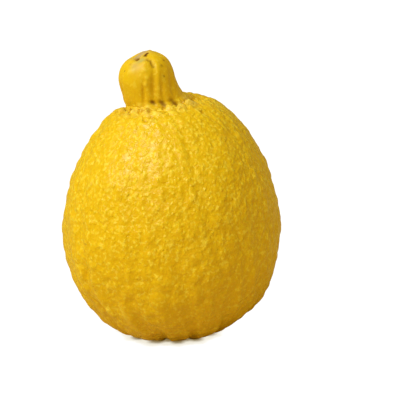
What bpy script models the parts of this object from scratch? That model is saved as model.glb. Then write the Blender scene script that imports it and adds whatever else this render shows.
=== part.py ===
"""A whole citron standing on its stem end, grown as one solid fruit.

Metres, +Z up. The origin is on the surface that the fruit stands on, under the
middle of its body. -Y is the side with the nipple's open pit, and the nipple
leans to -X.
"""

import math

import bmesh
import bpy
import numpy as np
from mathutils import Vector, noise

# The body, an egg turned round Z. Its heights are above the egg's own lowest point.
GIRTH_RADIUS = 0.0555
GIRTH_HEIGHT = 0.0553
CROWN_HEIGHT = 0.1275
CROWN_FULLNESS = 2.07
BASE_FULLNESS = 2.20
TABLE_HEIGHT = 0.0030

# The nipple on the crown, where the flower's style was
NIPPLE_HEIGHT = 0.1499
NIPPLE_RADIUS = 0.0140
NIPPLE_CAP = 0.0138
NIPPLE_CAP_FULLNESS = 2.2
NIPPLE_FILLET = 0.0017

# The nipple's lean about a point inside the crown, and the bow of its own axis
LEAN = math.radians(13.0)
LEAN_HEADING = math.radians(194.0)
LEAN_CENTRE_HEIGHT = 0.0864
LEAN_FULL_ABOVE = 0.1296
LEAN_NONE_BELOW = 0.1114
NIPPLE_BOW = 0.0010

# The stem end: a basin with ribs round it
BASIN_DEPTH = 0.0060
BASIN_RADIUS = 0.0100
STEM_RIBS = 13
STEM_RIB_DEPTH = 0.0020
STEM_RIB_REACH = 0.0500
STEM_RIB_WANDER = 1.3
STEM_RIB_CREST = 0.15
STEM_FURROW_HEADING = math.radians(-123.0)
STEM_FURROW_TWIST = math.radians(-0.5) / 0.001
STEM_FURROW_EDGE = 0.1

# Relief all over the rind: pebbles and broad swells
PEBBLE_PITCH = 0.0072
PEBBLE_HEIGHT = 0.0016
PEBBLE_STRETCH = 1.3
PEBBLE_SHOULDER = 0.7
PEBBLE_SUNK = 0.5
SWELL_PITCH = 0.0230
SWELL_HEIGHT = 0.0010
NIPPLE_SMOOTHNESS = 0.75

# Relief round the nipple's foot: a furrow, and knobs outside it that fade away down the crown
FURROW_RADIUS = 0.0160
FURROW_WIDTH = 0.0020
FURROW_DEPTH = 0.0013
FOOT_RADIUS = 0.0185
KNOB_PITCH = 0.0050
KNOB_HEIGHT = 0.0016
KNOB_SUNK = 0.65
KNOBS_FROM = 0.0190
KNOBS_TO = 0.0280

# The hump that the crown has on the side away from the lean
HUMP_HEADING = math.radians(20.0)
HUMP_FROM_AXIS = 0.0290
HUMP_HEIGHT = 0.1170
HUMP_RADIUS = 0.0130
HUMP_RISE = 0.0012

# Creases down the nipple's sides, each with its heading in degrees half way up and its depth
CREASES = (
    (-98, 0.0010),
    (-74, 0.0016),
    (-56, 0.0007),
    (-30, 0.0012),
    (6, 0.0008),
    (42, 0.0013),
    (84, 0.0009),
    (121, 0.0013),
    (160, 0.0008),
    (204, 0.0011),
)
CREASE_WIDTH = math.radians(7.5)
CREASE_MIDDLE = 0.1370
CREASE_TWIST = math.radians(1.3) / 0.001

# The open pit beside the nipple's tip
PIT_HEADING = math.radians(-92.0)
PIT_FROM_AXIS = 0.0088
PIT_WIDTH = 0.0045
PIT_HEIGHT = 0.0018
PIT_DEPTH = 0.0018

# Fineness: an icosphere of 80 faces with its edges cut, and cut again on the nipple
ICOSPHERE_LEVEL = 2
EDGE_CUTS = 9
NIPPLE_EDGE_CUTS = 2
NIPPLE_EDGE_CUTS_ABOVE = 0.1215
OUTLINE_SAMPLES = 3000

RIND_YELLOW = (0.83, 0.50, 0.03, 1.0)
RIND_ROUGHNESS = 0.45


def clear_scene():
    """Remove what the scene holds."""
    for item in list(bpy.data.objects):
        bpy.data.objects.remove(item)


def ramp(x, low, high):
    """Smooth step of x, from 0 at low to 1 at high."""
    t = np.clip((x - low) / (high - low), 0.0, 1.0)
    return t * t * (3.0 - 2.0 * t)


def superellipse(share, fullness):
    """Half width of a superellipse of half width 1, at a share of its half height."""
    return (1.0 - np.clip(share, 0.0, 1.0) ** fullness) ** (1.0 / fullness)


def smooth_larger(a, b, width):
    """The larger of a and b, rounded where they are within the width of each other."""
    mix = np.clip((1.0 + (b - a) / width) / 2.0, 0.0, 1.0)
    return a + (b - a) * mix + width * mix * (1.0 - mix)


def body_radius(z):
    """Radius of the egg at height z, fuller below its girth than above."""
    crown = superellipse((z - GIRTH_HEIGHT) / (CROWN_HEIGHT - GIRTH_HEIGHT), CROWN_FULLNESS)
    base = superellipse((GIRTH_HEIGHT - z) / GIRTH_HEIGHT, BASE_FULLNESS)
    return GIRTH_RADIUS * np.where(z > GIRTH_HEIGHT, crown, base)


def nipple_radius(z):
    """Radius of the nipple at height z, about its own axis: straight under a blunt cap."""
    return NIPPLE_RADIUS * superellipse((z - NIPPLE_HEIGHT + NIPPLE_CAP) / NIPPLE_CAP, NIPPLE_CAP_FULLNESS)


def turned_outline():
    """The outline that is turned round Z, from the nipple's tip to the stem end.

    Gives, for each sample, its angle from a sphere's pole, its radius and its
    height. The angles map a sphere to the fruit without stretching its faces.
    """
    z = NIPPLE_HEIGHT * (1.0 + np.cos(np.linspace(0.0, math.pi, OUTLINE_SAMPLES))) / 2.0
    r = smooth_larger(nipple_radius(z), body_radius(z), NIPPLE_FILLET)
    r[0] = r[-1] = 0.0
    length = np.hypot(np.diff(r), np.diff(z))
    turn = 2.0 * length[1:-1] / (r[1:-2] + r[2:-1])
    latitude = np.concatenate([[0.0], np.cumsum(turn)])
    latitude -= np.interp(-GIRTH_HEIGHT, -z[1:-1], latitude)
    angle = 2.0 * np.arctan(np.exp(latitude))
    return np.concatenate([[0.0], angle, [math.pi]]), r, z


def lean(points):
    """Turn the crown about a point inside it, so that the nipple stands off centre."""
    amount = LEAN * ramp(points[:, 2], LEAN_NONE_BELOW, LEAN_FULL_ABOVE)
    toward = np.array([math.cos(LEAN_HEADING), math.sin(LEAN_HEADING), 0.0])
    up = points[:, 2] - LEAN_CENTRE_HEIGHT
    along = points @ toward
    bow = np.clip((points[:, 2] - CROWN_HEIGHT) / (NIPPLE_HEIGHT - CROWN_HEIGHT), 0.0, 1.0)
    slide = along * np.cos(amount) + up * np.sin(amount) - along + NIPPLE_BOW * np.sin(math.pi * bow)
    lift = up * np.cos(amount) - along * np.sin(amount) - up
    return points + np.outer(slide, toward) + np.outer(lift, [0.0, 0.0, 1.0])


def pebbles(points, pitch, stretch):
    """Cells a pitch apart, longer up and down: 0 in the creases between them, 1 on top."""
    size = pitch * np.array([1.0, 1.0, stretch])
    edge = np.empty(len(points))
    for i, point in enumerate(points / size):
        nearest, second, *_ = noise.voronoi(Vector(point))[0]
        edge[i] = second - nearest
    return ramp(edge, 0.0, PEBBLE_SHOULDER)


def swells(points, pitch):
    """Broad soft noise between about -1 and 1."""
    return np.array([noise.noise(Vector(point / pitch)) for point in points])


def stem_furrows(points, radius, heading):
    """Furrows that run up from the stem end: -1 in each, 0 out of them, above 0 on the ribs."""
    wander = STEM_RIB_WANDER * swells(points, SWELL_PITCH)
    off = heading - STEM_FURROW_HEADING - STEM_FURROW_TWIST * points[:, 2]
    across = ramp(np.cos(STEM_RIBS * off + wander), STEM_FURROW_EDGE, 1.0)
    along = ramp(radius, 0.0, BASIN_RADIUS) * ramp(points[:, 2], STEM_RIB_REACH, 0.0)
    return (STEM_RIB_CREST - across) * along


def hump(points):
    """The crown's hump: 1 in its middle."""
    out = HUMP_FROM_AXIS * np.array([math.cos(HUMP_HEADING), math.sin(HUMP_HEADING), 0.0])
    off = points - out - [0.0, 0.0, HUMP_HEIGHT]
    return np.exp(-((np.linalg.norm(off, axis=1) / HUMP_RADIUS) ** 2))


def creases(height, heading):
    """Depth of the creases down the nipple's sides, which twist a little as they climb."""
    depth = np.zeros(len(heading))
    twist = CREASE_TWIST * (height - CREASE_MIDDLE)
    for degrees, deepest in CREASES:
        off = (heading - math.radians(degrees) - twist + math.pi) % (2.0 * math.pi) - math.pi
        depth = np.maximum(depth, deepest * np.exp(-((off / CREASE_WIDTH) ** 2)))
    foot = ramp(height, CROWN_HEIGHT - NIPPLE_FILLET, CROWN_HEIGHT)
    return depth * foot * (1.0 - ramp(height, NIPPLE_HEIGHT - NIPPLE_CAP, NIPPLE_HEIGHT))


def pit(points):
    """The open pit beside the nipple's tip: 1 at its middle, wider than it is high."""
    out = np.array([math.cos(PIT_HEADING), math.sin(PIT_HEADING), 0.0])
    across = points @ np.array([-out[1], out[0], 0.0])
    forward = points @ out - PIT_FROM_AXIS
    cap = (points[:, 2] > NIPPLE_HEIGHT - NIPPLE_CAP) & (points @ out > 0.0)
    return cap * np.exp(-((across / PIT_WIDTH) ** 2) - (forward / PIT_HEIGHT) ** 2)


def even_sphere(is_nipple):
    """A unit icosphere of small triangles, smaller still where is_nipple says so."""
    bm = bmesh.new()
    bmesh.ops.create_icosphere(bm, subdivisions=ICOSPHERE_LEVEL, radius=1.0)
    bmesh.ops.subdivide_edges(bm, edges=bm.edges[:], cuts=EDGE_CUTS, use_grid_fill=True)
    for vertex in bm.verts:
        vertex.co.normalize()
    fine = {edge for face in bm.faces if is_nipple(face.calc_center_median()) for edge in face.edges}
    bmesh.ops.subdivide_edges(bm, edges=list(fine), cuts=NIPPLE_EDGE_CUTS, use_grid_fill=True)
    bmesh.ops.triangulate(bm, faces=bm.faces[:])
    for vertex in bm.verts:
        vertex.co.normalize()
    return bm


def build_rind(collection):
    """The fruit: an even sphere drawn out to the outline, then given its relief."""
    angle, radius, height = turned_outline()
    nipple_angle = np.interp(-NIPPLE_EDGE_CUTS_ABOVE, -height, angle)
    bm = even_sphere(lambda point: point.normalized().z > math.cos(nipple_angle))

    sphere = np.array([vertex.co for vertex in bm.verts])
    from_pole = np.arccos(np.clip(sphere[:, 2], -1.0, 1.0))
    heading = np.arctan2(sphere[:, 1], sphere[:, 0])
    r = np.interp(from_pole, angle, radius)
    z = np.interp(from_pole, angle, height)
    upright = np.stack([r * np.cos(heading), r * np.sin(heading), z], axis=1)

    above = z > GIRTH_HEIGHT
    on_nipple = above * ramp(r, FOOT_RADIUS, FURROW_RADIUS)
    in_knobs = above * ramp(r, KNOBS_TO, KNOBS_FROM)
    pebble = pebbles(upright, PEBBLE_PITCH, PEBBLE_STRETCH) - PEBBLE_SUNK
    knob = pebbles(upright, KNOB_PITCH, 1.0) - KNOB_SUNK
    relief = PEBBLE_HEIGHT * (1.0 - in_knobs) * pebble + KNOB_HEIGHT * in_knobs * knob
    relief += SWELL_HEIGHT * swells(upright, SWELL_PITCH)
    relief *= 1.0 - NIPPLE_SMOOTHNESS * on_nipple
    relief += HUMP_RISE * hump(upright)
    relief += STEM_RIB_DEPTH * stem_furrows(upright, r, heading)
    relief -= FURROW_DEPTH * above * np.exp(-(((r - FURROW_RADIUS) / FURROW_WIDTH) ** 2))
    relief -= creases(z, heading)
    relief -= PIT_DEPTH * pit(upright)

    basin = BASIN_DEPTH * np.exp(-((r / BASIN_RADIUS) ** 2)) * (z < GIRTH_HEIGHT)
    upright[:, 2] += basin
    for vertex, place in zip(bm.verts, lean(upright)):
        vertex.co = place
    bm.normal_update()
    for vertex, rise in zip(bm.verts, relief):
        vertex.co += vertex.normal * rise
        # The fruit's own weight presses the lowest ribs flat on the table.
        vertex.co.z = max(vertex.co.z - TABLE_HEIGHT, 0.0)

    mesh = bpy.data.meshes.new("citron")
    bm.to_mesh(mesh)
    bm.free()
    mesh.shade_smooth()
    rind = bpy.data.objects.new("citron", mesh)
    collection.objects.link(rind)
    return rind


def rind_material():
    """The rind's plain colour."""
    material = bpy.data.materials.new("rind")
    material.use_nodes = True
    shader = material.node_tree.nodes["Principled BSDF"]
    shader.inputs["Base Color"].default_value = RIND_YELLOW
    shader.inputs["Roughness"].default_value = RIND_ROUGHNESS
    shader.inputs["Metallic"].default_value = 0.0
    return material


def main():
    """Build the fruit in a collection of its own."""
    clear_scene()
    fruit = bpy.data.collections.new("whole_citron")
    bpy.context.scene.collection.children.link(fruit)
    rind = build_rind(fruit)
    rind.data.materials.append(rind_material())


main()
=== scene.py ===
"""The looks of a whole citron: its pebbled waxy rind, its nipple and its stem end.

The rind is one fine mesh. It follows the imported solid's outline and lean, and adds
the small pebbles, creases and scars that the solid is too coarse to carry.
"""

import logging
import math
from dataclasses import dataclass, field
from enum import Enum

import bmesh
import bpy
import numpy as np
from mathutils import Matrix, Vector, noise


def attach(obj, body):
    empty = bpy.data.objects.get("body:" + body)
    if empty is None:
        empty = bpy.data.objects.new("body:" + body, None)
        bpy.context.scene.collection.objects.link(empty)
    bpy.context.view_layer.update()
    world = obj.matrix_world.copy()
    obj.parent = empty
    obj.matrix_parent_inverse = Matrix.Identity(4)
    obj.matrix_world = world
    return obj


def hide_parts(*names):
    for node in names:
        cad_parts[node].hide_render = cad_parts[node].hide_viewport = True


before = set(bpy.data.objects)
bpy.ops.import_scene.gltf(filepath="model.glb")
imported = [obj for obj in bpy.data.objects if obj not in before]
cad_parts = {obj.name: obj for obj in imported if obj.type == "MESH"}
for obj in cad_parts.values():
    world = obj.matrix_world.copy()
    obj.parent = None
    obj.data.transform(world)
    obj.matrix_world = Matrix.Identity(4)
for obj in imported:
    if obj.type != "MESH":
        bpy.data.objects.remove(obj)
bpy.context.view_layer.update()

IMAGE_SIZE = 420
TURN = 2.0 * math.pi
NOISE_SEED = 7
MILLIMETRE = 0.001
UP = np.array([0.0, 0.0, 1.0])

Socket = bpy.types.NodeSocket

log = logging.getLogger("citron")


def ramp(x: np.ndarray, low: float, high: float) -> np.ndarray:
    """Smooth step of x, from 0 at low to 1 at high."""
    t = np.clip((x - low) / (high - low), 0.0, 1.0)
    return t * t * (3.0 - 2.0 * t)


def bell(x: np.ndarray, width: float) -> np.ndarray:
    """Bell curve of x: 1 at 0, and near 0 past twice the width."""
    return np.exp(-((x / width) ** 2))


def superellipse(share: np.ndarray, fullness: float) -> np.ndarray:
    """Half width of a superellipse of half width 1, at a share of its half height."""
    return (1.0 - np.clip(share, 0.0, 1.0) ** fullness) ** (1.0 / fullness)


def turned(angle: np.ndarray) -> np.ndarray:
    """The same angle between minus half a turn and half a turn."""
    return (angle + math.pi) % TURN - math.pi


def stood(name: str, data: bpy.types.ID) -> bpy.types.Object:
    """A new object in the scene."""
    thing = bpy.data.objects.new(name, data)
    bpy.context.scene.collection.objects.link(thing)
    return thing


@dataclass(frozen=True)
class Places:
    """Where the rind's points stand before the crown leans.

    Attributes:
        radius: Distance of each point from the body's axis.
        height: Height of each point above the egg's lowest point.
        heading: Angle of each point round the axis, from +X.
        upright: The points themselves, one row each.
    """

    radius: np.ndarray
    height: np.ndarray
    heading: np.ndarray
    upright: np.ndarray


@dataclass(frozen=True)
class Egg:
    """The fruit's body: an egg turned round Z, pressed a little flat where it stands."""

    girth_radius: float = 0.0555
    girth_height: float = 0.0553
    crown_height: float = 0.1275
    crown_fullness: float = 2.07
    base_fullness: float = 2.20
    table_height: float = 0.0030

    def radius(self, z: np.ndarray) -> np.ndarray:
        """Radius of the egg, fuller below its girth than above.

        Args:
            z: Heights above the egg's lowest point.

        Returns:
            The radius at each height.
        """
        above = (z - self.girth_height) / (self.crown_height - self.girth_height)
        below = (self.girth_height - z) / self.girth_height
        crown = superellipse(above, self.crown_fullness)
        base = superellipse(below, self.base_fullness)
        return self.girth_radius * np.where(z > self.girth_height, crown, base)


@dataclass(frozen=True)
class Nipple:
    """The blunt knob on the crown, where the flower's style was."""

    top: float = 0.1499
    thickness: float = 0.0140
    cap: float = 0.0138
    cap_fullness: float = 2.2
    fillet: float = 0.0017
    middle: float = 0.1370

    def radius(self, z: np.ndarray) -> np.ndarray:
        """Radius of the nipple at height z, about its own axis."""
        return self.thickness * superellipse((z - self.top + self.cap) / self.cap, self.cap_fullness)


@dataclass(frozen=True)
class Lean:
    """How the crown turns about a point inside it, so that the nipple stands off centre."""

    angle: float = math.radians(13.0)
    heading: float = math.radians(194.0)
    centre_height: float = 0.0864
    full_above: float = 0.1296
    none_below: float = 0.1114
    bow: float = 0.0010

    def bend(self, points: np.ndarray, egg: Egg, nipple: Nipple) -> np.ndarray:
        """Points of the upright fruit moved to where the lean puts them.

        Args:
            points: The upright points, one row each.
            egg: The body, for its crown's height.
            nipple: The nipple, for its top's height.

        Returns:
            The leaning points, one row each.
        """
        amount = self.angle * ramp(points[:, 2], self.none_below, self.full_above)
        toward = np.array([math.cos(self.heading), math.sin(self.heading), 0.0])
        up = points[:, 2] - self.centre_height
        along = points @ toward
        share = np.clip((points[:, 2] - egg.crown_height) / (nipple.top - egg.crown_height), 0.0, 1.0)
        bow = self.bow * np.sin(math.pi * share)
        slide = along * np.cos(amount) + up * np.sin(amount) - along + bow
        lift = up * np.cos(amount) - along * np.sin(amount) - up
        return points + np.outer(slide, toward) + np.outer(lift, UP)


@dataclass(frozen=True)
class Outline:
    """The half outline that is turned round Z to make the upright fruit."""

    egg: Egg
    nipple: Nipple
    samples: int = 6000

    def trace(self) -> tuple[np.ndarray, np.ndarray, np.ndarray]:
        """Follows the outline from the nipple's tip to the stem end.

        Returns:
            For each sample, its angle from a sphere's pole, its radius and its
            height. The angles map a sphere to the fruit without stretching it.
        """
        z = self.nipple.top * (1.0 + np.cos(np.linspace(0.0, math.pi, self.samples))) / 2.0
        body = self.egg.radius(z)
        knob = np.where(z > self.egg.girth_height, self.nipple.radius(z), 0.0)
        mix = np.clip(0.5 + 0.5 * (body - knob) / self.nipple.fillet, 0.0, 1.0)
        r = knob + (body - knob) * mix + self.nipple.fillet * mix * (1.0 - mix)
        r[0] = r[-1] = 0.0
        length = np.hypot(np.diff(r), np.diff(z))
        latitude = np.concatenate([[0.0], np.cumsum(2.0 * length[1:-1] / (r[1:-2] + r[2:-1]))])
        latitude -= np.interp(-self.egg.girth_height, -z[1:-1], latitude)
        angle = 2.0 * np.arctan(np.exp(latitude))
        return np.concatenate([[0.0], angle, [math.pi]]), r, z


@dataclass(frozen=True)
class Cells:
    """A skin of cells, each longer up and down, its edges wandering a little."""

    pitch: float
    height: float
    stretch: float = 1.3
    shoulder: float = 0.7
    sunk: float = 0.5
    wander: float = 0.0
    wander_rate: float = 1.7
    kind_rate: float = 7.31
    kind_gain: float = 2.0

    def rise(self, places: Places) -> tuple[np.ndarray, np.ndarray]:
        """Measures each point against the cell that it is in.

        Args:
            places: The upright points.

        Returns:
            The share of each point's rise, 0 in a crease and 1 on top, and a
            number between -1 and 1 that differs from cell to cell.
        """
        size = self.pitch * np.array([1.0, 1.0, self.stretch])
        edge = np.empty(len(places.upright))
        kind = np.empty(len(places.upright))
        for i, point in enumerate(places.upright / size):
            spot = Vector(point)
            moved = spot + self.wander * noise.noise_vector(self.wander_rate * spot)
            distances, centres = noise.voronoi(moved)
            edge[i] = distances[1] - distances[0]
            kind[i] = noise.noise(centres[0] * self.kind_rate)
        return ramp(edge, 0.0, self.shoulder), np.clip(kind * self.kind_gain, -1.0, 1.0)

    def lift(self, share: np.ndarray) -> np.ndarray:
        """The share as a height, part of it below the smooth surface."""
        return self.height * (share - self.sunk)


def swells(points: np.ndarray, pitch: float) -> np.ndarray:
    """Broad soft noise between about -1 and 1, a pitch from swell to swell."""
    return np.array([noise.noise(Vector(point)) for point in points / pitch])


@dataclass(frozen=True)
class Crease:
    """One crease down the nipple's side.

    Attributes:
        heading: Its heading at the nipple's middle, in degrees.
        middle: Its middle's height.
        reach: Its half length.
        depth: Its depth, below 0 for a ridge.
        width: Its half width, in degrees.
    """

    heading: float
    middle: float
    reach: float
    depth: float
    width: float = 6.0


@dataclass(frozen=True)
class Wrinkle:
    """One wrinkle low on the body, that may climb in a spiral.

    Attributes:
        heading: Its heading at its middle, in degrees.
        middle: Its middle's height.
        reach: Its half length.
        twist: How far it turns as it climbs, in degrees to the millimetre.
        rise: Its height, below 0 for a furrow.
        width: Its half width.
    """

    heading: float
    middle: float
    reach: float
    twist: float
    rise: float
    width: float = 0.0011

    def lift(self, places: Places) -> np.ndarray:
        """Raises the wrinkle.

        Args:
            places: The upright points.

        Returns:
            How far it raises each point, in metres.
        """
        climb = places.height - self.middle
        middle = math.radians(self.heading) + math.radians(self.twist) / MILLIMETRE * climb
        off = turned(places.heading - middle)
        return self.rise * bell(places.radius * off, self.width) * bell(climb, self.reach)


@dataclass(frozen=True)
class Spot:
    """A mark on the rind: its heading in degrees, its distance from the axis, its height and size."""

    heading: float
    out: float
    height: float
    size: float

    def middle(self) -> np.ndarray:
        """The mark's place on the upright fruit."""
        angle = math.radians(self.heading)
        return np.array([self.out * math.cos(angle), self.out * math.sin(angle), self.height])

    def spread(self, places: Places) -> np.ndarray:
        """1 at the mark's middle, and near 0 past twice its size."""
        return bell(np.linalg.norm(places.upright - self.middle(), axis=1), self.size)


@dataclass(frozen=True)
class Streak:
    """A mark drawn out between two spots, as wide as the first."""

    start: Spot
    end: Spot

    def spread(self, places: Places) -> np.ndarray:
        """Measures how near each point is to the line between the two spots.

        Args:
            places: The upright points.

        Returns:
            1 along the line, and near 0 past twice its width.
        """
        start = self.start.middle()
        line = self.end.middle() - start
        along = np.clip((places.upright - start) @ line / (line @ line), 0.0, 1.0)
        off = places.upright - start - np.outer(along, line)
        return bell(np.linalg.norm(off, axis=1), self.start.size)


@dataclass(frozen=True)
class Form:
    """Marks that all stand as far out of the rind, or lie as deep in it where the rise is below 0."""

    rise: float
    marks: tuple

    def lift(self, places: Places) -> np.ndarray:
        """How far the form raises each point, in metres."""
        return self.rise * strongest(self.marks, places)


def strongest(marks: tuple, places: Places) -> np.ndarray:
    """The strongest of several marks at each point."""
    return np.max([mark.spread(places) for mark in marks], axis=0)


CREASES = (
    Crease(-94, 0.1325, 0.0052, 0.0012, 3.5),
    Crease(-73, 0.1350, 0.0075, 0.0014),
    Crease(-62, 0.1405, 0.0050, -0.0005, 5.0),
    Crease(-54, 0.1310, 0.0045, 0.0008, 4.0),
    Crease(-27, 0.1330, 0.0070, 0.0008),
    Crease(8, 0.1360, 0.0070, 0.0008),
    Crease(44, 0.1330, 0.0080, 0.0011),
    Crease(84, 0.1370, 0.0070, 0.0009),
    Crease(121, 0.1330, 0.0080, 0.0012),
    Crease(160, 0.1360, 0.0060, 0.0008),
    Crease(204, 0.1340, 0.0070, 0.0009),
)
WRINKLES = (
    Wrinkle(-143.8, 0.0395, 0.0055, -0.25, 0.0005),
    Wrinkle(-132.8, 0.0455, 0.0045, 0.2, 0.0005),
    Wrinkle(-129.8, 0.0280, 0.0050, -0.8, 0.0006),
    Wrinkle(-117.3, 0.0257, 0.0065, -0.3, 0.0005),
    Wrinkle(-113.8, 0.0167, 0.0022, -2.5, 0.0004),
    Wrinkle(-123.5, 0.0403, 0.0025, 0.3, 0.0004),
    Wrinkle(-138.3, 0.0438, 0.0050, 0.3, -0.0008, 0.0014),
    Wrinkle(-131, 0.0230, 0.0085, -1.0, -0.0010, 0.0014),
    Wrinkle(-40, 0.0330, 0.0080, 0.9, -0.0006, 0.0014),
    Wrinkle(-44, 0.0300, 0.0070, 0.8, 0.0004),
    Wrinkle(35, 0.0290, 0.0080, -0.7, -0.0008, 0.0014),
    Wrinkle(39, 0.0330, 0.0060, -0.5, 0.0005),
    Wrinkle(100, 0.0340, 0.0075, -0.9, -0.0008, 0.0014),
    Wrinkle(105, 0.0300, 0.0060, -0.8, 0.0005),
    Wrinkle(160, 0.0300, 0.0080, 0.8, -0.0007, 0.0014),
    Wrinkle(155, 0.0340, 0.0060, 0.7, 0.0004),
)
FOOT_SPOTS = (
    Spot(-91, 0.0144, 0.1270, 0.0014),
    Spot(-74.5, 0.0148, 0.1262, 0.0016),
    Spot(-53, 0.0153, 0.1260, 0.0018),
)
CAP_SPECKS = (
    Spot(-27.5, 0.0116, 0.1445, 0.0010),
    Spot(-43, 0.0127, 0.1426, 0.0009),
    Spot(-48, 0.0139, 0.1379, 0.0007),
    Spot(-128, 0.0098, 0.1462, 0.0008),
    Spot(-139, 0.0120, 0.1437, 0.0006),
)
LUMPS = (
    Spot(-120, 0.0147, 0.1264, 0.0014),
    Spot(-105.5, 0.0149, 0.1254, 0.0017),
    Spot(-134, 0.0152, 0.1262, 0.0012),
    Spot(-158, 0.0156, 0.1262, 0.0013),
    Spot(-119, 0.0215, 0.1224, 0.0016),
    Spot(-105, 0.0220, 0.1222, 0.0017),
    Spot(-90.5, 0.0225, 0.1219, 0.0017),
    Spot(-76, 0.0184, 0.1239, 0.0018),
    Spot(-101.5, 0.0275, 0.1187, 0.0016),
    Spot(-142.5, 0.0165, 0.1255, 0.0016),
    Spot(-40, 0.0195, 0.1236, 0.0015),
)
GAPS = (
    Streak(Spot(-100, 0.0187, 0.1238, 0.0013), Spot(-82, 0.0162, 0.1247, 0.0013)),
    Spot(-100, 0.0245, 0.1206, 0.0012),
    Spot(-115, 0.0188, 0.1238, 0.0012),
    Spot(-107, 0.0272, 0.1190, 0.0013),
    Spot(-43, 0.0270, 0.1190, 0.0015),
)
NIPPLE_BUMPS = (
    Spot(-86, 0.0125, 0.1430, 0.0009),
    Spot(-84, 0.0137, 0.1393, 0.0007),
    Spot(-91, 0.0140, 0.1362, 0.0009),
    Spot(-118, 0.0124, 0.1432, 0.0016),
)
FOOT_DIPS = (
    Streak(Spot(205, 0.0176, 0.1250, 0.0055), Spot(133, 0.0235, 0.1216, 0.0055)),
    Spot(165, 0.0262, 0.1240, 0.0050),
    Spot(0, 0.0190, 0.1245, 0.0042),
)
SCAR_ARC = (
    Streak(Spot(-76, 0.0086, 0.1475, 0.0007), Spot(-66, 0.0102, 0.1462, 0.0007)),
    Streak(Spot(-66, 0.0102, 0.1462, 0.0007), Spot(-64.5, 0.0122, 0.1433, 0.0007)),
)
FLATS = (
    Spot(178, 0.0480, 0.0960, 0.0095),
    Spot(-140, 0.0455, 0.0215, 0.0085),
)
PIT = Streak(Spot(-128.9, 0.0046, 0.1493, 0.0010), Spot(-112.2, 0.0071, 0.1484, 0.0010))
TIP_MARK = Streak(Spot(-55.4, 0.0043, 0.1494, 0.0006), Spot(-76.5, 0.0060, 0.1489, 0.0006))
TIP_SCAR = Streak(Spot(-155.6, 0.0036, 0.1496, 0.0031), Spot(-4, 0.0015, 0.1499, 0.0031))
TIP_POINT = Spot(-12, 0.0038, 0.1496, 0.0014)
TIP_FALL = Streak(Spot(-118, 0.0045, 0.1493, 0.0029), Spot(165, 0.0050, 0.1492, 0.0029))
TIP_SLOPE = Spot(0, 0.0092, 0.1472, 0.0030)
FOOT_FLARE = Spot(189, 0.0140, 0.1262, 0.0036)
CROWN_NOTCH = Spot(41, 0.0179, 0.1240, 0.0035)
CROWN_SWELL = Spot(26, 0.0236, 0.1213, 0.0026)
PIT_LOBE = Spot(-84, 0.0108, 0.1457, 0.0018)
DIMPLE = Spot(-94, 0.0083, 0.1477, 0.0020)
SCUFFS = (
    Spot(-110, 0.0108, 0.1455, 0.0024),
    Spot(-35, 0.0205, 0.1229, 0.0022),
    Spot(-20, 0.0165, 0.1255, 0.0020),
)
HUMP = Spot(20, 0.0290, 0.1170, 0.0130)
SHOULDER = Spot(167, 0.0330, 0.1135, 0.0080)
FORMS = (
    Form(0.0004, (HUMP,)),
    Form(0.0006, (SHOULDER,)),
    Form(0.0012, LUMPS),
    Form(0.0007, NIPPLE_BUMPS),
    Form(-0.0011, FLATS),
    Form(-0.0013, GAPS),
    Form(0.0007, (PIT_LOBE,)),
    Form(0.0011, (TIP_POINT,)),
    Form(0.0013, (FOOT_FLARE,)),
    Form(0.0007, (CROWN_SWELL,)),
    Form(-0.0010, (CROWN_NOTCH,)),
    Form(-0.0014, (TIP_FALL,)),
    Form(-0.0006, (TIP_SLOPE,)),
    Form(-0.0005, (DIMPLE,)),
    Form(-0.0009, SCAR_ARC),
    Form(-0.0012, (PIT,)),
    Form(-0.0006, FOOT_SPOTS),
)


@dataclass(frozen=True)
class Relief:
    """How far each point stands out of the smooth fruit, and what marks it.

    Attributes:
        rise: Distance of each point along its normal, in metres.
        hollow_shade: Painted shade, 0 on the open rind to 1 at the bottom of a crease, gap or furrow.
        crest_highlight: Painted highlight, 0 to 1 on the tops of pebbles, knobs, lumps and raised wrinkles.
        brown: Share of dead brown skin, with a little painted shade in the gaps among the knobs.
        tan: Share of dry tan skin.
        green: Share of unripe green.
        pebbly: 1 where the finish's small pebbles stand at their full height.
        depth: Painted shade, 0 at the crown to 1 at the stem end, where the yellow is drawn darkest.
    """

    rise: np.ndarray
    hollow_shade: np.ndarray
    crest_highlight: np.ndarray
    brown: np.ndarray
    tan: np.ndarray
    green: np.ndarray
    pebbly: np.ndarray
    depth: np.ndarray


@dataclass(frozen=True)
class Shares:
    """How strongly each feature colours the rind. Those of creases and wrinkles are to the metre."""

    # Painted shade: darker orange in pebble gaps, knob gaps, creases, furrows and the gaps among the knobs.
    shade_pebble_gap: float = 0.30
    shade_knob_gap: float = 1.5
    shade_crease: float = 450.0
    shade_stem_furrow: float = 0.4
    shade_foot_furrow: float = 0.15
    shade_wrinkle: float = 900.0
    shade_gap: float = 1.4
    # Painted highlight: paler tops of pebbles, lumps and raised wrinkles.
    highlight_pebble: float = 0.5
    highlight_lump: float = 1.5
    highlight_wrinkle: float = 1600.0
    tan_scuff: float = 0.5
    tan_knob: float = 0.25
    tan_lump: float = 0.12
    brown_foot_spot: float = 0.64
    brown_speck: float = 0.45
    brown_tip_mark: float = 2.5
    brown_pit: float = 0.8
    brown_arc: float = 0.5
    # Painted shade: a little brown in the gaps among the knobs.
    shade_brown_gap: float = 0.18


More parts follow.
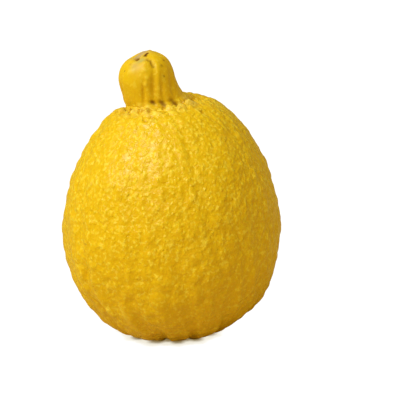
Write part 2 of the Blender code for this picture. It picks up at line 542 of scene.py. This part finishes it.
@dataclass(frozen=True)
class RindRelief:
    """Pebbles, swells, furrows, knobs, creases and scars, each raised by a formula."""

    egg: Egg
    nipple: Nipple
    lumps: Cells = Cells(pitch=0.0072, height=0.0006)
    pebbles: Cells = Cells(pitch=0.0036, height=0.00020, stretch=1.35, wander=0.35)
    knobs: Cells = Cells(0.0050, 0.0020, stretch=1.0, shoulder=0.45, sunk=0.6, wander=0.2)
    shares: Shares = Shares()
    pebble_spread: float = 0.35
    patch_spread: float = 0.4
    patch_pitch: float = 0.0115
    patch_offset: float = 1.0
    pebbles_lost_in_knobs: float = 0.6
    # The pebble kinds that get a painted highlight on top.
    highlight_kinds: tuple = (-0.4, 0.8)
    dry_kinds: tuple = (0.1, 0.5)
    swell_pitch: float = 0.0230
    swell_height: float = 0.0010
    smoothness: float = 0.8
    flutes_round: float = 9.0
    flute_length: float = 0.0450
    flute_twist: float = math.radians(-0.2) / MILLIMETRE
    flute_depth: float = 0.0006
    flute_fade: float = 0.0250
    calm_below: float = 0.0300
    calm_none_above: float = 0.0800
    calmness: float = 0.45
    collar_radius: float = 0.0275
    collar_width: float = 0.0060
    collar_rise: float = 0.0011
    foot_dip: float = 0.0029
    foot_wander: float = 0.0016
    foot_wander_pitch: float = 0.0065
    stem_ribs: int = 13
    stem_rib_depth: float = 0.0014
    stem_rib_reach: float = 0.0500
    stem_rib_wander: float = 1.3
    stem_rib_crest: float = 0.15
    stem_furrow_heading: float = math.radians(-123.0)
    stem_furrow_twist: float = math.radians(-0.5) / MILLIMETRE
    stem_furrow_edge: float = 0.1
    basin_depth: float = 0.0060
    basin_radius: float = 0.0100
    button_radius: float = 0.0032
    furrow_radius: float = 0.0164
    furrow_width: float = 0.0016
    furrow_depth: float = 0.0012
    foot_inside: float = 0.0148
    foot_outside: float = 0.0160
    knobs_from: float = 0.0190
    knobs_to: float = 0.0280
    crease_twist: float = math.radians(1.3) / MILLIMETRE

    def near_foot(self, places: Places) -> tuple[np.ndarray, np.ndarray]:
        """Where the nipple and its foot are.

        Args:
            places: The upright points.

        Returns:
            1 on the nipple and 0 off it, and 1 among the knobs round its foot.
        """
        above = places.height > self.egg.girth_height
        wander = self.foot_wander * swells(places.upright, self.foot_wander_pitch)
        on_nipple = above * ramp(places.radius + wander, self.foot_outside, self.foot_inside)
        in_knobs = above * ramp(places.radius, self.knobs_to, self.knobs_from) * (1.0 - on_nipple)
        return on_nipple, in_knobs

    def shift(self, places: Places) -> np.ndarray:
        """Lifts the stem basin and the collar, and sinks the furrow and dips at the nipple's foot.

        Args:
            places: The upright points.

        Returns:
            How far each point moves up, in metres.
        """
        above = places.height > self.egg.girth_height
        basin = self.basin_depth * bell(places.radius, self.basin_radius) * (1.0 - above)
        collar = self.collar_rise * bell(places.radius - self.collar_radius, self.collar_width)
        wander = self.foot_wander * swells(places.upright, self.foot_wander_pitch)
        from_furrow = places.radius + wander - self.furrow_radius
        furrow = self.furrow_depth * bell(from_furrow, self.furrow_width)
        off_nipple = ramp(places.radius, self.foot_inside, self.foot_outside)
        dip = self.foot_dip * strongest(FOOT_DIPS, places) * off_nipple
        return basin + above * (collar - furrow - dip)

    def flutes(self, places: Places) -> np.ndarray:
        """Draws the long soft flutes that run down the fruit.

        Args:
            places: The upright points.

        Returns:
            Their height at each point, between about -1 and 1.
        """
        turn = places.heading - self.flute_twist * places.height
        round_the_fruit = self.flutes_round * np.stack([np.cos(turn), np.sin(turn)], axis=1)
        flutes = swells(np.column_stack([round_the_fruit, places.height / self.flute_length]), 1.0)
        return flutes * ramp(places.height, 0.0, self.flute_fade)

    def stem_furrows(self, places: Places) -> np.ndarray:
        """Draws the furrows that run up from the stem end.

        Args:
            places: The upright points.

        Returns:
            1 in each furrow, and below 0 on the ribs between.
        """
        wander = self.stem_rib_wander * swells(places.upright, self.swell_pitch)
        off = places.heading - self.stem_furrow_heading - self.stem_furrow_twist * places.height
        across = ramp(np.cos(self.stem_ribs * off + wander), self.stem_furrow_edge, 1.0)
        fade = ramp(places.height, self.stem_rib_reach, 0.0)
        return (across - self.stem_rib_crest) * fade * ramp(places.radius, 0.0, self.basin_radius)

    def creases(self, places: Places) -> np.ndarray:
        """Draws the creases down the nipple's sides.

        Args:
            places: The upright points.

        Returns:
            Their depth at each point, in metres, below 0 on a ridge.
        """
        depth = np.zeros(len(places.heading))
        above = places.height > self.egg.crown_height - self.nipple.fillet
        for crease in CREASES:
            off = places.height - crease.middle
            twist = self.crease_twist * (places.height - self.nipple.middle)
            across = turned(places.heading - math.radians(crease.heading) - twist)
            depth += crease.depth * bell(across, math.radians(crease.width)) * bell(off, crease.reach)
        return depth * above

    def measure(self, places: Places) -> Relief:
        """Adds up the relief and the marks.

        Args:
            places: The upright points.

        Returns:
            The relief and marks of every point.
        """
        on_nipple, in_knobs = self.near_foot(places)
        low = ramp(places.height, self.calm_none_above, self.calm_below)
        rough = 1.0 - self.smoothness * on_nipple
        calm = rough * (1.0 - self.calmness * low)
        lump, _ = self.lumps.rise(places)
        pebble, kind = self.pebbles.rise(places)
        knob, knob_kind = self.knobs.rise(places)
        crease = self.creases(places)
        stem = self.stem_furrows(places)
        wrinkle = sum(wrinkle.lift(places) for wrinkle in WRINKLES)
        swell = swells(places.upright, self.swell_pitch)
        patches = swells(places.upright + self.patch_offset, self.patch_pitch)

        rise = calm * self.pebbles.lift(pebble) * (1.0 + self.pebble_spread * kind)
        rise *= (1.0 + self.patch_spread * patches) * (1.0 - self.pebbles_lost_in_knobs * in_knobs)
        rise += rough * (self.lumps.lift(lump) * (1.0 - in_knobs) + self.knobs.lift(knob) * in_knobs)
        rise += rough * (self.swell_height * swell + self.flute_depth * (1.0 + low) * self.flutes(places))
        rise += wrinkle - crease - self.stem_rib_depth * stem + sum(form.lift(places) for form in FORMS)

        shares = self.shares
        above = places.height > self.egg.girth_height
        furrow = bell(places.radius - self.furrow_radius, self.furrow_width) * above
        gaps = strongest(GAPS, places)
        lumps = strongest(LUMPS, places)
        # Painted shade, darker in pebble gaps, knob gaps, creases, furrows and gaps.
        hollow_shade = shares.shade_pebble_gap * (1.0 - pebble) * calm + shares.shade_knob_gap * (1.0 - knob) * in_knobs
        hollow_shade += shares.shade_crease * crease + shares.shade_stem_furrow * stem + shares.shade_foot_furrow * furrow
        hollow_shade += shares.shade_wrinkle * np.maximum(-wrinkle, 0.0) + shares.shade_gap * gaps
        # Painted highlight, paler on the tops of pebbles, knobs, lumps, bumps and raised wrinkles.
        crest_highlight = shares.highlight_pebble * pebble * ramp(kind, *self.highlight_kinds) * calm + in_knobs * knob
        crest_highlight += shares.highlight_lump * lumps + strongest(NIPPLE_BUMPS, places)
        crest_highlight += shares.highlight_wrinkle * np.maximum(wrinkle, 0.0)
        tan = [
            TIP_SCAR.spread(places),
            shares.tan_scuff * strongest(SCUFFS, places),
            shares.tan_knob * in_knobs * knob * ramp(knob_kind, *self.dry_kinds),
            shares.tan_lump * lumps,
        ]
        brown = [
            shares.brown_foot_spot * strongest(FOOT_SPOTS, places),
            shares.brown_speck * strongest(CAP_SPECKS, places),
            np.clip(shares.brown_tip_mark * TIP_MARK.spread(places), 0.0, 1.0),
            shares.brown_pit * PIT.spread(places),
            shares.brown_arc * strongest(SCAR_ARC, places),
            # Painted shade in the gaps among the knobs.
            shares.shade_brown_gap * gaps,
            bell(places.radius, self.button_radius) * (1.0 - above),
        ]
        return Relief(
            rise=rise,
            hollow_shade=np.clip(hollow_shade, 0.0, 1.0),
            crest_highlight=np.clip(crest_highlight * (1.0 - gaps), 0.0, 1.0),
            brown=np.max(brown, axis=0),
            tan=np.max(tan, axis=0),
            green=DIMPLE.spread(places),
            pebbly=calm,
            # Painted shade, darker toward the stem end.
            depth=ramp(places.height, self.egg.crown_height, 0.0),
        )


class Mark(Enum):
    """What the rind's mesh carries to every vertex, for its finish to read."""

    # Painted shade in creases, gaps and furrows.
    HOLLOW_SHADE = "hollow_shade"
    # Painted highlight on the tops of pebbles, knobs and lumps.
    CREST_HIGHLIGHT = "crest_highlight"
    BROWN = "brown"
    TAN = "tan"
    GREEN = "green"
    PEBBLY = "pebbly"
    # Painted shade, darker toward the stem end.
    DEPTH = "depth"


@dataclass(frozen=True)
class Span:
    """A range of values and the range that it becomes, smoothly from end to end."""

    low: float
    high: float
    to_low: float = 0.0
    to_high: float = 1.0


@dataclass(frozen=True)
class Speckle:
    """A noise: its swells to the metre, its finer octaves, and its stretch up and down."""

    scale: float
    detail: float
    stretch: float = 1.0


@dataclass(frozen=True)
class Nodes:
    """One material's node tree, and what is drawn with it."""

    tree: bpy.types.NodeTree

    def new(self, kind: str) -> bpy.types.Node:
        """A new node of one kind."""
        return self.tree.nodes.new(kind)

    def feed(self, socket: Socket, value: Socket | float | tuple) -> None:
        """Links a socket, or sets it.

        Args:
            socket: The socket to feed.
            value: Another node's socket, a number, or a colour of three numbers.
        """
        if isinstance(value, Socket):
            self.tree.links.new(value, socket)
        elif socket.type == "RGBA":
            socket.default_value = (*value, 1.0)
        else:
            socket.default_value = value

    def place(self) -> Socket:
        """The Object coordinates."""
        return self.new("ShaderNodeTexCoord").outputs["Object"]

    def mark(self, mark: Mark) -> Socket:
        """One of the marks on the piece's own mesh.

        Args:
            mark: Which of them.

        Returns:
            The mark's socket.
        """
        reader = self.new("ShaderNodeAttribute")
        reader.attribute_name = mark.value
        return reader.outputs["Fac"]

    def noise(self, speckle: Speckle, output: str = "Fac") -> Socket:
        """A noise on Object coordinates.

        Args:
            speckle: Its sizes.
            output: Fac for one number from 0 to 1, or Color for three.

        Returns:
            The noise's socket.
        """
        texture = self.new("ShaderNodeTexNoise")
        self.feed(texture.inputs["Scale"], speckle.scale)
        self.feed(texture.inputs["Detail"], speckle.detail)
        self.feed(texture.inputs["Vector"], self.stretched(self.place(), speckle.stretch))
        return texture.outputs[output]

    def stretched(self, vector: Socket, stretch: float) -> Socket:
        """Coordinates on which a pattern comes out longer up and down.

        Args:
            vector: The coordinates.
            stretch: How many times longer.

        Returns:
            The new coordinates.
        """
        node = self.new("ShaderNodeVectorMath")
        node.operation = "MULTIPLY"
        node.inputs[1].default_value = (1.0, 1.0, 1.0 / stretch)
        self.feed(node.inputs[0], vector)
        return node.outputs[0]

    def remapped(self, value: Socket, span: Span) -> Socket:
        """A value moved smoothly from one range into another.

        Args:
            value: The socket to move.
            span: The two ranges.

        Returns:
            The moved value.
        """
        node = self.new("ShaderNodeMapRange")
        node.interpolation_type = "SMOOTHSTEP"
        for socket, number in zip(node.inputs[1:5], (span.low, span.high, span.to_low, span.to_high)):
            socket.default_value = number
        self.feed(node.inputs[0], value)
        return node.outputs[0]

    def product(self, value: Socket, by: Socket | float) -> Socket:
        """The product of a value and another.

        Args:
            value: The first socket.
            by: The second, or a number.

        Returns:
            The product's socket.
        """
        node = self.new("ShaderNodeMath")
        node.operation = "MULTIPLY"
        self.feed(node.inputs[0], value)
        self.feed(node.inputs[1], by)
        return node.outputs[0]

    def raised(self, value: Socket, share: Socket, by: float) -> Socket:
        """A value raised where a share is high, and kept between 0 and 1.

        Args:
            value: The value to raise.
            share: Where to raise it, from 0 to 1.
            by: How far it is raised where the share is 1.

        Returns:
            The raised value.
        """
        node = self.new("ShaderNodeMath")
        node.operation = "MULTIPLY_ADD"
        node.use_clamp = True
        for socket, part in zip(node.inputs, (share, by, value)):
            self.feed(socket, part)
        return node.outputs[0]

    def mixed(self, under: Socket | tuple, over: Socket | tuple, share: Socket) -> Socket:
        """One colour laid over another.

        Args:
            under: The colour underneath, a socket or three numbers.
            over: The colour on top, a socket or three numbers.
            share: How much of the top colour shows, from 0 to 1.

        Returns:
            The mixed colour.
        """
        node = self.new("ShaderNodeMix")
        node.data_type = "RGBA"
        self.feed(node.inputs["Factor"], share)
        for name, colour in (("A", under), ("B", over)):
            self.feed(next(s for s in node.inputs if s.name == name and s.type == "RGBA"), colour)
        return next(s for s in node.outputs if s.type == "RGBA")

    def bumped(self, height: Socket, most: float, under: Socket | None = None) -> Socket:
        """A bump, over another one where there is one.

        Args:
            height: The socket of the bump's height, from 0 to 1.
            most: The height of 1, in metres.
            under: The normal of the bump underneath.

        Returns:
            The bumped normal.
        """
        bump = self.new("ShaderNodeBump")
        self.feed(bump.inputs["Distance"], most)
        self.feed(bump.inputs["Height"], height)
        if under is not None:
            self.feed(bump.inputs["Normal"], under)
        return bump.outputs["Normal"]

    def openness(self, reach: float, span: Span) -> Socket:
        """How open a place is to all sides.

        Args:
            reach: How near something has to be to count.
            span: What the open share becomes.

        Returns:
            The openness's socket.
        """
        node = self.new("ShaderNodeAmbientOcclusion")
        self.feed(node.inputs["Distance"], reach)
        return self.remapped(node.outputs["AO"], span)

    def seen_or_lit(self, lit: Socket, seen: Socket, output: str) -> None:
        """Finishes the tree with one shader for the camera and another for the light.

        Args:
            lit: The shader that all other rays meet.
            seen: The shader that the camera sees.
            output: The name of the tree's output node.
        """
        choice = self.new("ShaderNodeMixShader")
        self.feed(choice.inputs[0], self.new("ShaderNodeLightPath").outputs["Is Camera Ray"])
        self.feed(choice.inputs[1], lit)
        self.feed(choice.inputs[2], seen)
        self.feed(self.tree.nodes[output].inputs["Surface"], choice.outputs[0])


@dataclass(frozen=True)
class RindFinish:
    """The rind's waxy yellow, with its small pebbles and its marks, painted shade in its hollows and
    painted highlights on its tops.
    """

    name: str = "rind_wax"
    ripe: tuple = (0.86, 0.624, 0.007)
    # Painted shade toward the stem end, and random broad deeper patches.
    deep_shade: tuple = (0.80, 0.510, 0.002)
    # Painted highlight on crests and pebble tops, and random pale flecks.
    highlight_pale: tuple = (0.94, 0.76, 0.075)
    # Painted shade in hollows and pebble gaps, and random darker flecks.
    hollow_shade: tuple = (0.72, 0.43, 0.001)
    amber: tuple = (0.25, 0.11, 0.001)
    char: tuple = (0.012, 0.005, 0.002)
    tan: tuple = (0.53, 0.385, 0.19)
    green: tuple = (0.50, 0.47, 0.15)
    # How strongly the painted shade and highlights show.
    lower_shade_share: float = 0.65
    hollow_shade_share: float = 0.7
    crest_highlight_share: float = 0.5
    broad: Speckle = Speckle(28.0, 3.0)
    broad_deeps: Span = Span(0.48, 0.70, 0.0, 0.25)
    flecks: Speckle = Speckle(540.0, 2.0)
    pale_flecks: Span = Span(0.54, 0.67, 0.0, 0.70)
    flecks_off_pebbles: Span = Span(0.0, 1.0, 0.5, 1.0)
    deep_flecks: Span = Span(0.46, 0.30, 0.0, 0.45)
    # Painted shade between the small pebbles, and painted highlight on their tops.
    pebble_gap_shade: Span = Span(0.40, 0.10, 0.0, 0.4)
    pebble_top_highlight: Span = Span(0.55, 0.95, 0.0, 0.5)
    ambered: Span = Span(0.0, 0.6)
    charred: Span = Span(0.5, 1.0)
    specular: float = 0.40
    subsurface: float = 0.10
    subsurface_scale: float = 0.0020
    subsurface_reach: tuple = (1.0, 0.5, 0.1)
    bloom: Speckle = Speckle(60.0, 4.0)
    roughness: Span = Span(0.2, 0.8, 0.22, 0.38)
    smooth_skin: Span = Span(0.4, 0.2)
    smooth_skin_roughness: float = 0.12
    dead_skin_roughness: float = 0.35
    pebble_pitch: float = 0.0021
    pebble_stretch: float = 1.5
    pebble_wander: float = 0.0020
    pebble_wanders: Speckle = Speckle(0.8 / pebble_pitch, 1.0)
    pebble_softness: float = 0.6
    pebble_dome: Span = Span(0.6, 0.0)
    pebble_height: float = 0.00027
    dabs: Speckle = Speckle(480.0, 2.0)
    dab_tops: Span = Span(0.42, 0.75)
    dab_height: float = 0.00020
    grain: Speckle = Speckle(1100.0, 1.0)
    grain_height: float = 0.00004
    chains: Speckle = Speckle(330.0, 1.0, 5.0)
    chain_height: float = 0.00038
    patches: Speckle = Speckle(36.0, 1.0)
    chain_patches: Span = Span(0.45, 0.62)

    def build(self) -> bpy.types.Material:
        """Makes the rind's material.

        Returns:
            A material that reads Object coordinates and the rind's own marks.
        """
        material = bpy.data.materials.new(self.name)
        material.use_nodes = True
        nodes = Nodes(material.node_tree)
        pebble = self.pebbles(nodes)
        looks = {
            "Base Color": self.paint(nodes, pebble),
            "Roughness": self.wax(nodes),
            "Normal": self.relief(nodes, pebble),
            "Specular IOR Level": self.specular,
            "Subsurface Weight": self.subsurface,
            "Subsurface Radius": self.subsurface_reach,
            "Subsurface Scale": self.subsurface_scale,
        }
        shader = material.node_tree.nodes["Principled BSDF"]
        for name, value in looks.items():
            nodes.feed(shader.inputs[name], value)
        return material

    def pebbles(self, nodes: Nodes) -> Socket:
        """The small pebbles, longer up and down, each soft and out of round.

        Args:
            nodes: The material's nodes.

        Returns:
            A socket that is 0 in the creases and up to 1 on top.
        """
        moved = nodes.new("ShaderNodeVectorMath")
        moved.operation = "MULTIPLY_ADD"
        nodes.feed(moved.inputs[0], nodes.noise(self.pebble_wanders, "Color"))
        moved.inputs[1].default_value = (self.pebble_wander,) * 3
        nodes.feed(moved.inputs[2], nodes.place())
        texture = nodes.new("ShaderNodeTexVoronoi")
        texture.feature = "SMOOTH_F1"
        nodes.feed(texture.inputs["Scale"], 1.0 / self.pebble_pitch)
        nodes.feed(texture.inputs["Smoothness"], self.pebble_softness)
        nodes.feed(texture.inputs["Vector"], nodes.stretched(moved.outputs[0], self.pebble_stretch))
        dome = nodes.remapped(texture.outputs["Distance"], self.pebble_dome)
        return nodes.product(dome, nodes.mark(Mark.PEBBLY))

    def paint(self, nodes: Nodes, pebble: Socket) -> Socket:
        """Lays the colours over one another.

        Args:
            nodes: The material's nodes.
            pebble: The socket of the small pebbles.

        Returns:
            The socket that holds the finished colour.
        """
        flecks = nodes.noise(self.flecks)
        pebbly = nodes.mark(Mark.PEBBLY)
        brown = nodes.mark(Mark.BROWN)
        off_pebbles = nodes.remapped(pebbly, self.flecks_off_pebbles)
        coats = (
            # Painted shade toward the stem end, then random broad deeper patches.
            (self.deep_shade, nodes.product(nodes.mark(Mark.DEPTH), self.lower_shade_share)),
            (self.deep_shade, nodes.remapped(nodes.noise(self.broad), self.broad_deeps)),
            # Painted shade in hollows and between the small pebbles.
            (self.hollow_shade, nodes.product(nodes.mark(Mark.HOLLOW_SHADE), self.hollow_shade_share)),
            (self.hollow_shade, nodes.remapped(pebble, self.pebble_gap_shade)),
            # Painted highlight on crests and on the tops of the small pebbles.
            (self.highlight_pale, nodes.product(nodes.mark(Mark.CREST_HIGHLIGHT), self.crest_highlight_share)),
            (self.highlight_pale, nodes.remapped(pebble, self.pebble_top_highlight)),
            # Random pale and darker flecks, the rind's own tone.
            (self.highlight_pale, nodes.product(nodes.remapped(flecks, self.pale_flecks), off_pebbles)),
            (self.hollow_shade, nodes.product(nodes.remapped(flecks, self.deep_flecks), pebbly)),
            (self.tan, nodes.mark(Mark.TAN)),
            (self.green, nodes.mark(Mark.GREEN)),
            (self.amber, nodes.remapped(brown, self.ambered)),
            (self.char, nodes.remapped(brown, self.charred)),
        )
        colour = self.ripe
        for coat, share in coats:
            colour = nodes.mixed(colour, coat, share)
        return colour

    def wax(self, nodes: Nodes) -> Socket:
        """The roughness: smoother where the wax lies thick, rough on dead skin.

        Args:
            nodes: The material's nodes.

        Returns:
            The socket that holds the roughness.
        """
        bloom = nodes.remapped(nodes.noise(self.bloom), self.roughness)
        smooth = nodes.remapped(nodes.mark(Mark.PEBBLY), self.smooth_skin)
        bloom = nodes.raised(bloom, smooth, self.smooth_skin_roughness)
        return nodes.raised(bloom, nodes.mark(Mark.BROWN), self.dead_skin_roughness)

    def relief(self, nodes: Nodes, pebble: Socket) -> Socket:
        """The small pebbles over soft dabs of no one size, as bumps.

        Args:
            nodes: The material's nodes.
            pebble: The socket of the small pebbles.

        Returns:
            The socket that holds the bumped normal.
        """
        pebbly = nodes.mark(Mark.PEBBLY)
        dabs = nodes.product(nodes.remapped(nodes.noise(self.dabs), self.dab_tops), pebbly)
        chains = nodes.product(nodes.noise(self.chains), pebbly)
        patches = nodes.remapped(nodes.noise(self.patches), self.chain_patches)
        normal = nodes.bumped(nodes.noise(self.grain), self.grain_height)
        normal = nodes.bumped(dabs, self.dab_height, normal)
        normal = nodes.bumped(nodes.product(chains, patches), self.chain_height, normal)
        return nodes.bumped(pebble, self.pebble_height, normal)


@dataclass
class CitronRind:
    """The whole fruit's skin, from nipple to stem scar, as one piece."""

    egg: Egg = field(default_factory=Egg)
    nipple: Nipple = field(default_factory=Nipple)
    lean: Lean = field(default_factory=Lean)
    finish: RindFinish = field(default_factory=RindFinish)
    icosphere_level: int = 2
    edge_cuts: int = 40
    nipple_edge_cuts: int = 2
    nipple_edge_cuts_above: float = 0.1240

    def sphere(self, nipple_angle: float) -> bmesh.types.BMesh:
        """A unit sphere of even triangles, smaller still near its upper pole.

        Args:
            nipple_angle: How far from the pole the smaller triangles reach.

        Returns:
            The sphere, which the caller frees.
        """
        bm = bmesh.new()
        bmesh.ops.create_icosphere(bm, subdivisions=self.icosphere_level, radius=1.0)
        bmesh.ops.subdivide_edges(bm, edges=bm.edges[:], cuts=self.edge_cuts, use_grid_fill=True)
        for vertex in bm.verts:
            vertex.co.normalize()
        limit = math.cos(nipple_angle)
        bm.edges.index_update()
        near = [face for face in bm.faces if face.calc_center_median().z > limit]
        fine = {edge.index: edge for face in near for edge in face.edges}
        edges = [*fine.values()]
        bmesh.ops.subdivide_edges(bm, edges=edges, cuts=self.nipple_edge_cuts, use_grid_fill=True)
        bmesh.ops.triangulate(bm, faces=bm.faces[:])
        for vertex in bm.verts:
            vertex.co.normalize()
        return bm

    def build(self) -> bpy.types.Object:
        """Draws a sphere out to the fruit's outline and gives it its relief and marks.

        Returns:
            The finished piece, riding on the frame in the solid's place.
        """
        angle, radius, height = Outline(self.egg, self.nipple).trace()
        bm = self.sphere(float(np.interp(-self.nipple_edge_cuts_above, -height, angle)))
        points = np.array([vertex.co for vertex in bm.verts])
        from_pole = np.arccos(np.clip(points[:, 2], -1.0, 1.0))
        heading = np.arctan2(points[:, 1], points[:, 0])
        r = np.interp(from_pole, angle, radius)
        z = np.interp(from_pole, angle, height)
        upright = np.stack([r * np.cos(heading), r * np.sin(heading), z], axis=1)
        places = Places(r, z, heading, upright)

        shape = RindRelief(self.egg, self.nipple)
        relief = shape.measure(places)
        leaning = self.lean.bend(upright + np.outer(shape.shift(places), UP), self.egg, self.nipple)
        for vertex, place in zip(bm.verts, leaning):
            vertex.co = place
        bm.normal_update()
        for vertex, rise in zip(bm.verts, relief.rise):
            vertex.co += vertex.normal * rise
            vertex.co.z = max(vertex.co.z - self.egg.table_height, 0.0)
        return self.dress(bm, relief)

    def dress(self, bm: bmesh.types.BMesh, relief: Relief) -> bpy.types.Object:
        """Turns the mesh into a piece with its marks and its finish.

        Args:
            bm: The finished mesh, which is freed here.
            relief: The marks of every vertex.

        Returns:
            The piece.
        """
        mesh = bpy.data.meshes.new("citron_rind")
        bm.to_mesh(mesh)
        bm.free()
        mesh.shade_smooth()
        for mark in Mark:
            layer = mesh.attributes.new(name=mark.value, type="FLOAT", domain="POINT")
            layer.data.foreach_set("value", getattr(relief, mark.value).astype(np.float32))
        mesh.materials.append(self.finish.build())
        rind = stood("citron_rind", mesh)
        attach(rind, "root")
        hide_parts("citron")
        return rind


@dataclass(frozen=True)
class Studio:
    """A plain white floor, a soft high key light from the left and a bright surround."""

    floor_size: float = 12.0
    floor_bounce: tuple = (0.62, 0.49, 0.17)
    floor_glow: float = 1.1
    contact_reach: float = 0.0026
    contact_shade: tuple = (0.20, 0.13, 0.03)
    contact_open: Span = Span(0.0, 0.7)
    halo_reach: float = 0.0050
    halo_shade: tuple = (0.80, 0.75, 0.63)
    halo_open: Span = Span(0.2, 0.75)
    key_strength: float = 1.6
    key_softness: float = math.radians(70.0)
    spark_strength: float = 0.9
    spark_softness: float = math.radians(22.0)
    key_from: tuple = (-0.74, -0.60, 1.08)
    fill_strength: float = 0.465
    fill_colour: tuple = (1.0, 0.78, 0.20)
    white: tuple = (1.0, 1.0, 1.0)

    def lay_floor(self) -> bpy.types.Object:
        """Makes the floor.

        Returns:
            The floor, which isn't part of the object.
        """
        bm = bmesh.new()
        bmesh.ops.create_grid(bm, x_segments=1, y_segments=1, size=self.floor_size)
        mesh = bpy.data.meshes.new("floor")
        bm.to_mesh(mesh)
        bm.free()
        mesh.materials.append(self.floor_paper())
        floor = stood("floor", mesh)
        return floor

    def floor_paper(self) -> bpy.types.Material:
        """Makes the floor's finish: grey as it lights the fruit, white as it is seen.

        Returns:
            Its material, dark only where the fruit stands close over it.
        """
        material = bpy.data.materials.new("floor_paper")
        material.use_nodes = True
        nodes = Nodes(material.node_tree)
        nodes.tree.nodes.remove(nodes.tree.nodes["Principled BSDF"])
        bounce = nodes.new("ShaderNodeBsdfDiffuse")
        nodes.feed(bounce.inputs["Color"], self.floor_bounce)
        glow = nodes.new("ShaderNodeEmission")
        nodes.feed(glow.inputs["Strength"], self.floor_glow)
        close = nodes.openness(self.contact_reach, self.contact_open)
        wide = nodes.openness(self.halo_reach, self.halo_open)
        shade = nodes.mixed(self.contact_shade, self.halo_shade, close)
        nodes.feed(glow.inputs["Color"], nodes.mixed(shade, self.white, wide))
        nodes.seen_or_lit(bounce.outputs[0], glow.outputs[0], "Material Output")
        return material

    def hang_key(self, name: str, strength: float, softness: float, glints: bool) -> bpy.types.Object:
        """Makes one of the two far lights on the key's side.

        Args:
            name: The light's name.
            strength: Its strength.
            softness: How broad it looks, as an angle.
            glints: Whether the wax mirrors it.

        Returns:
            The light.
        """
        light = bpy.data.lights.new(name, "SUN")
        light.energy = strength
        light.angle = softness
        key = stood(name, light)
        key.rotation_mode = "QUATERNION"
        key.rotation_quaternion = Vector(self.key_from).to_track_quat("Z", "Y")
        key.visible_glossy = glints
        return key

    def light_surround(self) -> bpy.types.World:
        """Makes the world: white to look at, dimmer and a little warm as a light.

        Returns:
            The world.
        """
        world = bpy.data.worlds.new("surround")
        world.use_nodes = True
        nodes = Nodes(world.node_tree)
        fill = nodes.tree.nodes["Background"]
        nodes.feed(fill.inputs["Color"], self.fill_colour)
        nodes.feed(fill.inputs["Strength"], self.fill_strength)
        seen = nodes.new("ShaderNodeBackground")
        nodes.feed(seen.inputs["Color"], self.white)
        nodes.seen_or_lit(fill.outputs[0], seen.outputs[0], "World Output")
        bpy.context.scene.world = world
        return world


@dataclass(frozen=True)
class PhotoCamera:
    """The camera, which sees the fruit as the photograph does."""

    lens_mm: float = 100.0
    sensor_mm: float = 36.0
    elevation: float = math.radians(15.0)
    pixels_per_metre: float = 1946.0
    aim_height: float = 0.0590
    aim_pixel: tuple = (172.1, 219.1)
    clip_start: float = 0.01

    def place(self) -> bpy.types.Object:
        """Makes the camera and gives it to the scene.

        Returns:
            The camera.
        """
        focal = self.lens_mm / self.sensor_mm * IMAGE_SIZE
        distance = focal / self.pixels_per_metre
        right = Vector((1.0, 0.0, 0.0))
        up = Vector((0.0, math.sin(self.elevation), math.cos(self.elevation)))
        back = right.cross(up)
        metre = distance / focal
        column, row = (pixel - IMAGE_SIZE / 2.0 for pixel in self.aim_pixel)
        aim = Vector((0.0, 0.0, self.aim_height))
        eye = aim + back * distance - right * column * metre + up * row * metre
        data = bpy.data.cameras.new("camera")
        data.lens = self.lens_mm
        data.sensor_width = self.sensor_mm
        data.clip_start = self.clip_start
        camera = stood("camera", data)
        camera.matrix_world = Matrix.Translation(eye) @ Matrix((right, up, back)).transposed().to_4x4()
        bpy.context.scene.camera = camera
        return camera


def main() -> None:
    """Builds the studio and the fruit, and reports each piece."""
    logging.basicConfig(level=logging.INFO, format="%(message)s")
    # Unseeded, noise_vector differs from run to run.
    noise.seed_set(NOISE_SEED)
    bpy.context.scene.view_settings.view_transform = "Standard"
    studio = Studio()
    log.info("floor: %s", studio.lay_floor().name)
    key = studio.hang_key("key", studio.key_strength, studio.key_softness, glints=False)
    spark = studio.hang_key("spark", studio.spark_strength, studio.spark_softness, glints=True)
    log.info("lights: %s, %s and %s", key.name, spark.name, studio.light_surround().name)
    log.info("camera: %s", PhotoCamera().place().name)
    rind = CitronRind().build()
    log.info("rind: %s, %d triangles", rind.name, len(rind.data.polygons))


if __name__ == "__main__":
    main()
